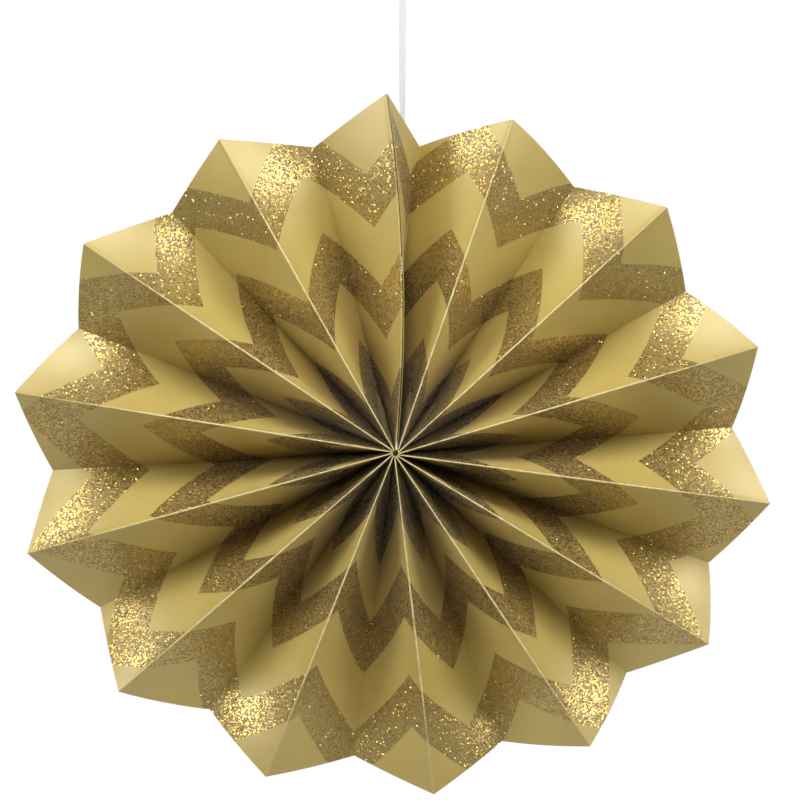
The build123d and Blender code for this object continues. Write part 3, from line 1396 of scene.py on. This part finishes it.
@dataclass
class HangingRibbon:
    """Flat ribbon that carries the fan."""

    run: RibbonRun
    finish: RibbonFinish
    columns: int = 16
    order: int = 3
    resolution: int = 12
    path: list[Vector] = field(default_factory=list)
    length: float = 0.0

    def line(self) -> list[Vector]:
        """Draws a smooth line by the route's points.

        Returns:
            Points read from that line.
        """
        curve = bpy.data.curves.new("ribbon_route", "CURVE")
        curve.dimensions = "3D"
        spline = curve.splines.new("NURBS")
        points = self.run.route()
        spline.points.add(len(points) - 1)
        for target, point in zip(spline.points, points):
            target.co = (*point, 1.0)
        spline.order_u = self.order
        spline.use_endpoint_u = True
        spline.resolution_u = self.resolution
        holder = bpy.data.objects.new("ribbon_route", curve)
        bpy.context.scene.collection.objects.link(holder)
        bpy.context.view_layer.update()
        drawn = bpy.data.meshes.new_from_object(holder)
        found = [vertex.co.copy() for vertex in drawn.vertices]
        bpy.data.objects.remove(holder)
        bpy.data.meshes.remove(drawn)
        bpy.data.curves.remove(curve)
        return found

    def build(self) -> bpy.types.Object:
        """Makes the ribbon along its route.

        Returns:
            The finished ribbon.
        """
        self.path = self.line()
        lengths = [0.0]
        for near, far in zip(self.path, self.path[1:]):
            lengths.append(lengths[-1] + (far - near).length)
        self.length = lengths[-1]
        last = len(self.path) - 1
        work = bmesh.new()
        bmesh.ops.create_grid(work, x_segments=self.columns, y_segments=last, size=1.0)
        uv = work.loops.layers.uv.new(FLAT_UV)
        for vertex, column, row in grid_points(work, self.columns, last):
            point = self.path[row]
            across = self.run.across(point.z)
            aside = (column / self.columns - 0.5) * self.run.width
            rib = self.run.rib_height * (column % 2)
            for loop in vertex.link_loops:
                loop[uv].uv = (aside, lengths[row])
            vertex.co = point + across * aside + across.cross(UP * rib)
        thicken(work, self.run.thickness)
        ribbon = new_piece("ribbon_band", work, [self.finish.material()])
        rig.replaces(ribbon, "hanging_ribbon")
        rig.ride(ribbon, "root")
        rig.slot(ribbon, "ribbon")
        return ribbon


@dataclass
class RibbonLoop:
    """Loop at the ribbon's top, tied with a knot."""

    run: RibbonRun
    finish: RibbonFinish
    length: float = 0.0340
    bend_radius: float = 0.0070
    foot_radius: float = 0.0006
    columns: int = 12
    rows: int = 96
    knot_width: float = 0.0068
    knot_depth: float = 0.0042
    knot_tilt: float = 0.0008
    knot_squareness: int = 6
    knot_segments: int = 40
    wraps: int = 3
    wrap_steps: int = 8
    wrap_waist: float = 0.72
    wrap_roundness: float = 0.6

    def axes(self) -> tuple[Vector, Vector]:
        """Directions across the ribbon and across the loop's opening."""
        across = self.run.across(self.run.knot.z)
        return across, UP.cross(across)

    def outline(self, share: float) -> tuple[Vector, Vector]:
        """Point and outward direction on the loop's outline, in its side view.

        Args:
            share: How far round the loop, from 0 to 1.

        Returns:
            The point and the direction, with X sideways and Y up.
        """
        reach = self.length - self.bend_radius
        lean = (self.bend_radius - self.foot_radius) / reach
        slope = Vector((1.0, -lean)).normalized()
        strand = ((reach**2) - (self.bend_radius - self.foot_radius) ** 2) ** 0.5
        half_arc = pi / 2 + lean
        arc = 2 * half_arc * self.bend_radius
        along = share * (2 * strand + arc)
        if along < strand:
            foot = slope * self.foot_radius
            direction = Vector((-slope.y, slope.x))
            return foot + direction * along, slope
        if along > strand + arc:
            point, normal = self.outline(1 - share)
            return Vector((-point.x, point.y)), Vector((-normal.x, normal.y))
        turn = -lean + (along - strand) / self.bend_radius
        normal = Vector((cos(turn), sin(turn)))
        return Vector((0, reach)) + normal * self.bend_radius, normal

    def band(self) -> bpy.types.Object:
        """Ribbon of the loop.

        Returns:
            The finished band.
        """
        across, sideways = self.axes()
        work = bmesh.new()
        bmesh.ops.create_grid(work, x_segments=self.columns, y_segments=self.rows, size=1.0)
        uv = work.loops.layers.uv.new(FLAT_UV)
        for vertex, column, row in grid_points(work, self.columns, self.rows):
            share = row / self.rows
            point, normal = self.outline(share)
            point -= normal * (self.run.thickness / 2 + self.run.rib_height * (column % 2))
            aside = (column / self.columns - 0.5) * self.run.width
            for loop in vertex.link_loops:
                loop[uv].uv = (aside, share * 2 * self.length)
            vertex.co = self.run.knot + across * aside + sideways * point.x + UP * point.y
        thicken(work, self.run.thickness)
        return self.declare(new_piece("loop_band", work, [self.finish.material()]))

    def knot(self) -> bpy.types.Object:
        """Wrapped knot under the loop.

        Returns:
            The finished knot.
        """
        work = bmesh.new()
        height = self.run.knot_height
        steps = self.wrap_steps * self.wraps
        profile = []
        for step in range(steps + 1):
            up = step / steps
            wrap = abs(sin(pi * up * self.wraps)) ** self.wrap_roundness
            bulge = self.wrap_waist + (1 - self.wrap_waist) * wrap
            ends = (1 - abs(2 * up - 1) ** self.knot_squareness) ** 0.5
            profile.append(work.verts.new((bulge * ends, 0, (up - 0.5) * height)))
        edges = [work.edges.new(pair) for pair in zip(profile, profile[1:])]
        bmesh.ops.spin(
            work,
            geom=[*profile, *edges],
            cent=(0, 0, 0),
            axis=UP,
            angle=tau,
            steps=self.knot_segments,
            use_merge=True,
        )
        bmesh.ops.remove_doubles(work, verts=work.verts, dist=SAME_POINT)
        uv = work.loops.layers.uv.new(FLAT_UV)
        across, sideways = self.axes()
        for vertex in work.verts:
            x, y, z = vertex.co
            for loop in vertex.link_loops:
                loop[uv].uv = (z, x * self.knot_depth)
            rise = z * (1 - 2 * self.knot_tilt / height) + self.knot_tilt * x
            vertex.co = (
                self.run.knot
                + across * (x * self.knot_width / 2)
                + sideways * (y * self.knot_depth / 2)
                + UP * rise
            )
        bmesh.ops.recalc_face_normals(work, faces=work.faces)
        soften(work)
        return self.declare(new_piece("loop_knot", work, [self.finish.material()]))

    def declare(self, piece: bpy.types.Object) -> bpy.types.Object:
        """Says what a piece of the loop stands for.

        Args:
            piece: The piece.

        Returns:
            The same piece.
        """
        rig.replaces(piece, "ribbon_loop")
        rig.ride(piece, "root")
        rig.slot(piece, "ribbon")
        return piece


# The hub


@dataclass
class HubGlue:
    """Drop of glue that closes the hole at the hub, a little behind the front."""

    plan: FoldPlan
    finish: GlueFinish
    radius: float = 0.0019
    thickness: float = 0.0030
    depth: float = -0.0170
    meridians: int = 32
    rings: int = 16

    def build(self) -> bpy.types.Object:
        """Makes the drop.

        Returns:
            The finished drop.
        """
        x, _, z = self.plan.hub
        work = bmesh.new()
        bmesh.ops.create_uvsphere(
            work,
            u_segments=self.meridians,
            v_segments=self.rings,
            radius=self.radius,
        )
        flat = (1.0, self.thickness / (2 * self.radius), 1.0)
        bmesh.ops.scale(work, verts=work.verts, vec=flat)
        bmesh.ops.translate(work, verts=work.verts, vec=(x, self.depth, z))
        soften(work)
        drop = new_piece("hub_glue", work, [self.finish.material()])
        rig.ride(drop, "root")
        return drop


@dataclass
class Gathering:
    """Thread round the hub, as the part has it."""

    node: bpy.types.Object
    finish: ThreadFinish

    def dress(self) -> None:
        """Gives the thread its finish."""
        self.node.data.materials.clear()
        self.node.data.materials.append(self.finish.material())
        LOG.info("%s: dressed", self.node.name)


# Studio


@dataclass(frozen=True)
class Lamp:
    """Round soft lamp that points at the fan's middle."""

    name: str
    place: Place
    size: float
    power: float


@dataclass
class Studio:
    """Floor, soft light and camera."""

    floor_level: float = -0.70
    floor_radius: float = 1.2
    floor_segments: int = 96
    floor_colour: Colour = (0.92, 0.92, 0.92)
    floor_shade: float = 0.97
    floor_cloud_size: float = 0.4
    floor_roughness: float = 0.8
    floor_glow: Colour = (0.35, 0.35, 0.35)
    ambient: float = 0.04
    mirrored: float = 0.4
    middle: Place = (0.0041, 0.0, 0.0260)
    camera_distance: float = 1.5
    field_width: float = 0.427
    sensor: float = 36.0
    lamps: tuple[Lamp, ...] = (
        Lamp("high", (0.00, -0.58, 0.78), 0.44, 4.2),
        Lamp("upper_left", (-0.55, -0.42, 0.70), 0.44, 2.4),
        Lamp("upper_right", (0.55, -0.42, 0.70), 0.44, 3.2),
        Lamp("left", (-1.50, -0.70, 0.50), 0.80, 9.0),
        Lamp("right", (1.50, -0.70, 0.55), 0.80, 7.6),
        Lamp("low", (0.00, -0.80, -0.50), 0.90, 0.6),
        Lamp("back_left", (-0.45, 1.40, 0.90), 0.90, 12.0),
        Lamp("back_right", (0.45, 1.40, 0.90), 0.90, 12.0),
    )

    def floor(self) -> None:
        """Pale round floor well below the hanging fan."""
        work = bmesh.new()
        bmesh.ops.create_circle(
            work,
            cap_ends=True,
            segments=self.floor_segments,
            radius=self.floor_radius,
        )
        bmesh.ops.translate(work, verts=work.verts, vec=(0, 0, self.floor_level))
        made = Material("studio_floor")
        shader = made.shader
        cloud = shader.grain(shader.place(), self.floor_cloud_size)
        darker = tuple(self.floor_shade * part for part in self.floor_colour)
        seen = Field(shader, shader.node("ShaderNodeLightPath").outputs["Is Camera Ray"])
        surface = made.finish(
            Base_Color=shader.mix(cloud, self.floor_colour, darker),
            Roughness=self.floor_roughness,
            Emission_Color=shader.mix(seen, (0.0, 0.0, 0.0), self.floor_glow),
            Emission_Strength=1.0,
        )
        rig.stage(new_piece("floor", work, [surface]))

    def world(self) -> None:
        """Soft light all round: white to the camera, dimmer in reflections, dim on surfaces."""
        world = bpy.data.worlds.new("studio")
        world.use_nodes = True
        bpy.context.scene.world = world
        shader = Shader(world.node_tree)
        path = shader.node("ShaderNodeLightPath")
        seen = Field(shader, path.outputs["Is Camera Ray"]) * (1 - self.ambient)
        mirrored = Field(shader, path.outputs["Is Glossy Ray"]) * (self.mirrored - self.ambient)
        background = world.node_tree.nodes["Background"]
        shader.feed(background.inputs["Color"], (1.0, 1.0, 1.0))
        shader.feed(background.inputs["Strength"], self.ambient + seen + mirrored)

    def light(self) -> None:
        """Large soft lamps."""
        for lamp in self.lamps:
            data = bpy.data.lights.new(lamp.name, "AREA")
            data.shape = "DISK"
            data.size = lamp.size
            data.energy = lamp.power
            holder = bpy.data.objects.new(lamp.name, data)
            holder.location = lamp.place
            holder.visible_camera = False
            holder.rotation_euler = (-Vector(lamp.place)).to_track_quat("-Z", "Y").to_euler()
            bpy.context.scene.collection.objects.link(holder)

    def camera(self) -> None:
        """Camera square to the fan's front."""
        data = bpy.data.cameras.new("camera")
        data.sensor_width = self.sensor
        data.lens = self.sensor * self.camera_distance / self.field_width
        holder = bpy.data.objects.new("camera", data)
        holder.location = Vector(self.middle) - Vector((0, self.camera_distance, 0))
        holder.rotation_euler = (pi / 2, 0, 0)
        bpy.context.scene.collection.objects.link(holder)
        bpy.context.scene.camera = holder

    def build(self) -> None:
        """Sets up the studio."""
        bpy.context.scene.view_settings.view_transform = "Standard"
        self.floor()
        self.world()
        self.light()
        self.camera()


def as_lists(box: tuple[Vector, Vector]) -> list[list[float]]:
    """Gives a box's two corners as plain lists."""
    return [list(corner) for corner in box]


def main() -> None:
    """Builds the pieces in order and writes both boxes."""
    logging.basicConfig(level=logging.INFO, format="%(name)s: %(message)s")
    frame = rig.load()
    cad_box = as_lists(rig.bounds())
    Studio().build()
    plan = FoldPlan()
    seam = Seam(plan)
    run = RibbonRun(seam)
    ribbon_finish = RibbonFinish()
    ribbon = HangingRibbon(run, ribbon_finish)
    band = ribbon.build()
    loop = RibbonLoop(run, ribbon_finish)
    ends = [loop.band(), loop.knot()]
    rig.cord(
        band,
        exit=run.exit,
        length=ribbon.length,
        diameter=run.width,
        far_end="knot",
        stiffness="limp",
        lay="taut",
        path=ribbon.path,
        with_pieces=ends,
    )
    PleatedCard(plan, CardPrint()).build()
    SeamTape(seam, TapeFinish()).build()
    HubGlue(plan, GlueFinish()).build()
    Gathering(frame["nodes"]["hub_thread"], ThreadFinish()).dress()
    with open(SIZE_FILE, "w", encoding="utf-8") as file:
        json.dump({"cad": cad_box, "visual": as_lists(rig.bounds())}, file)


if __name__ == "__main__":
    main()
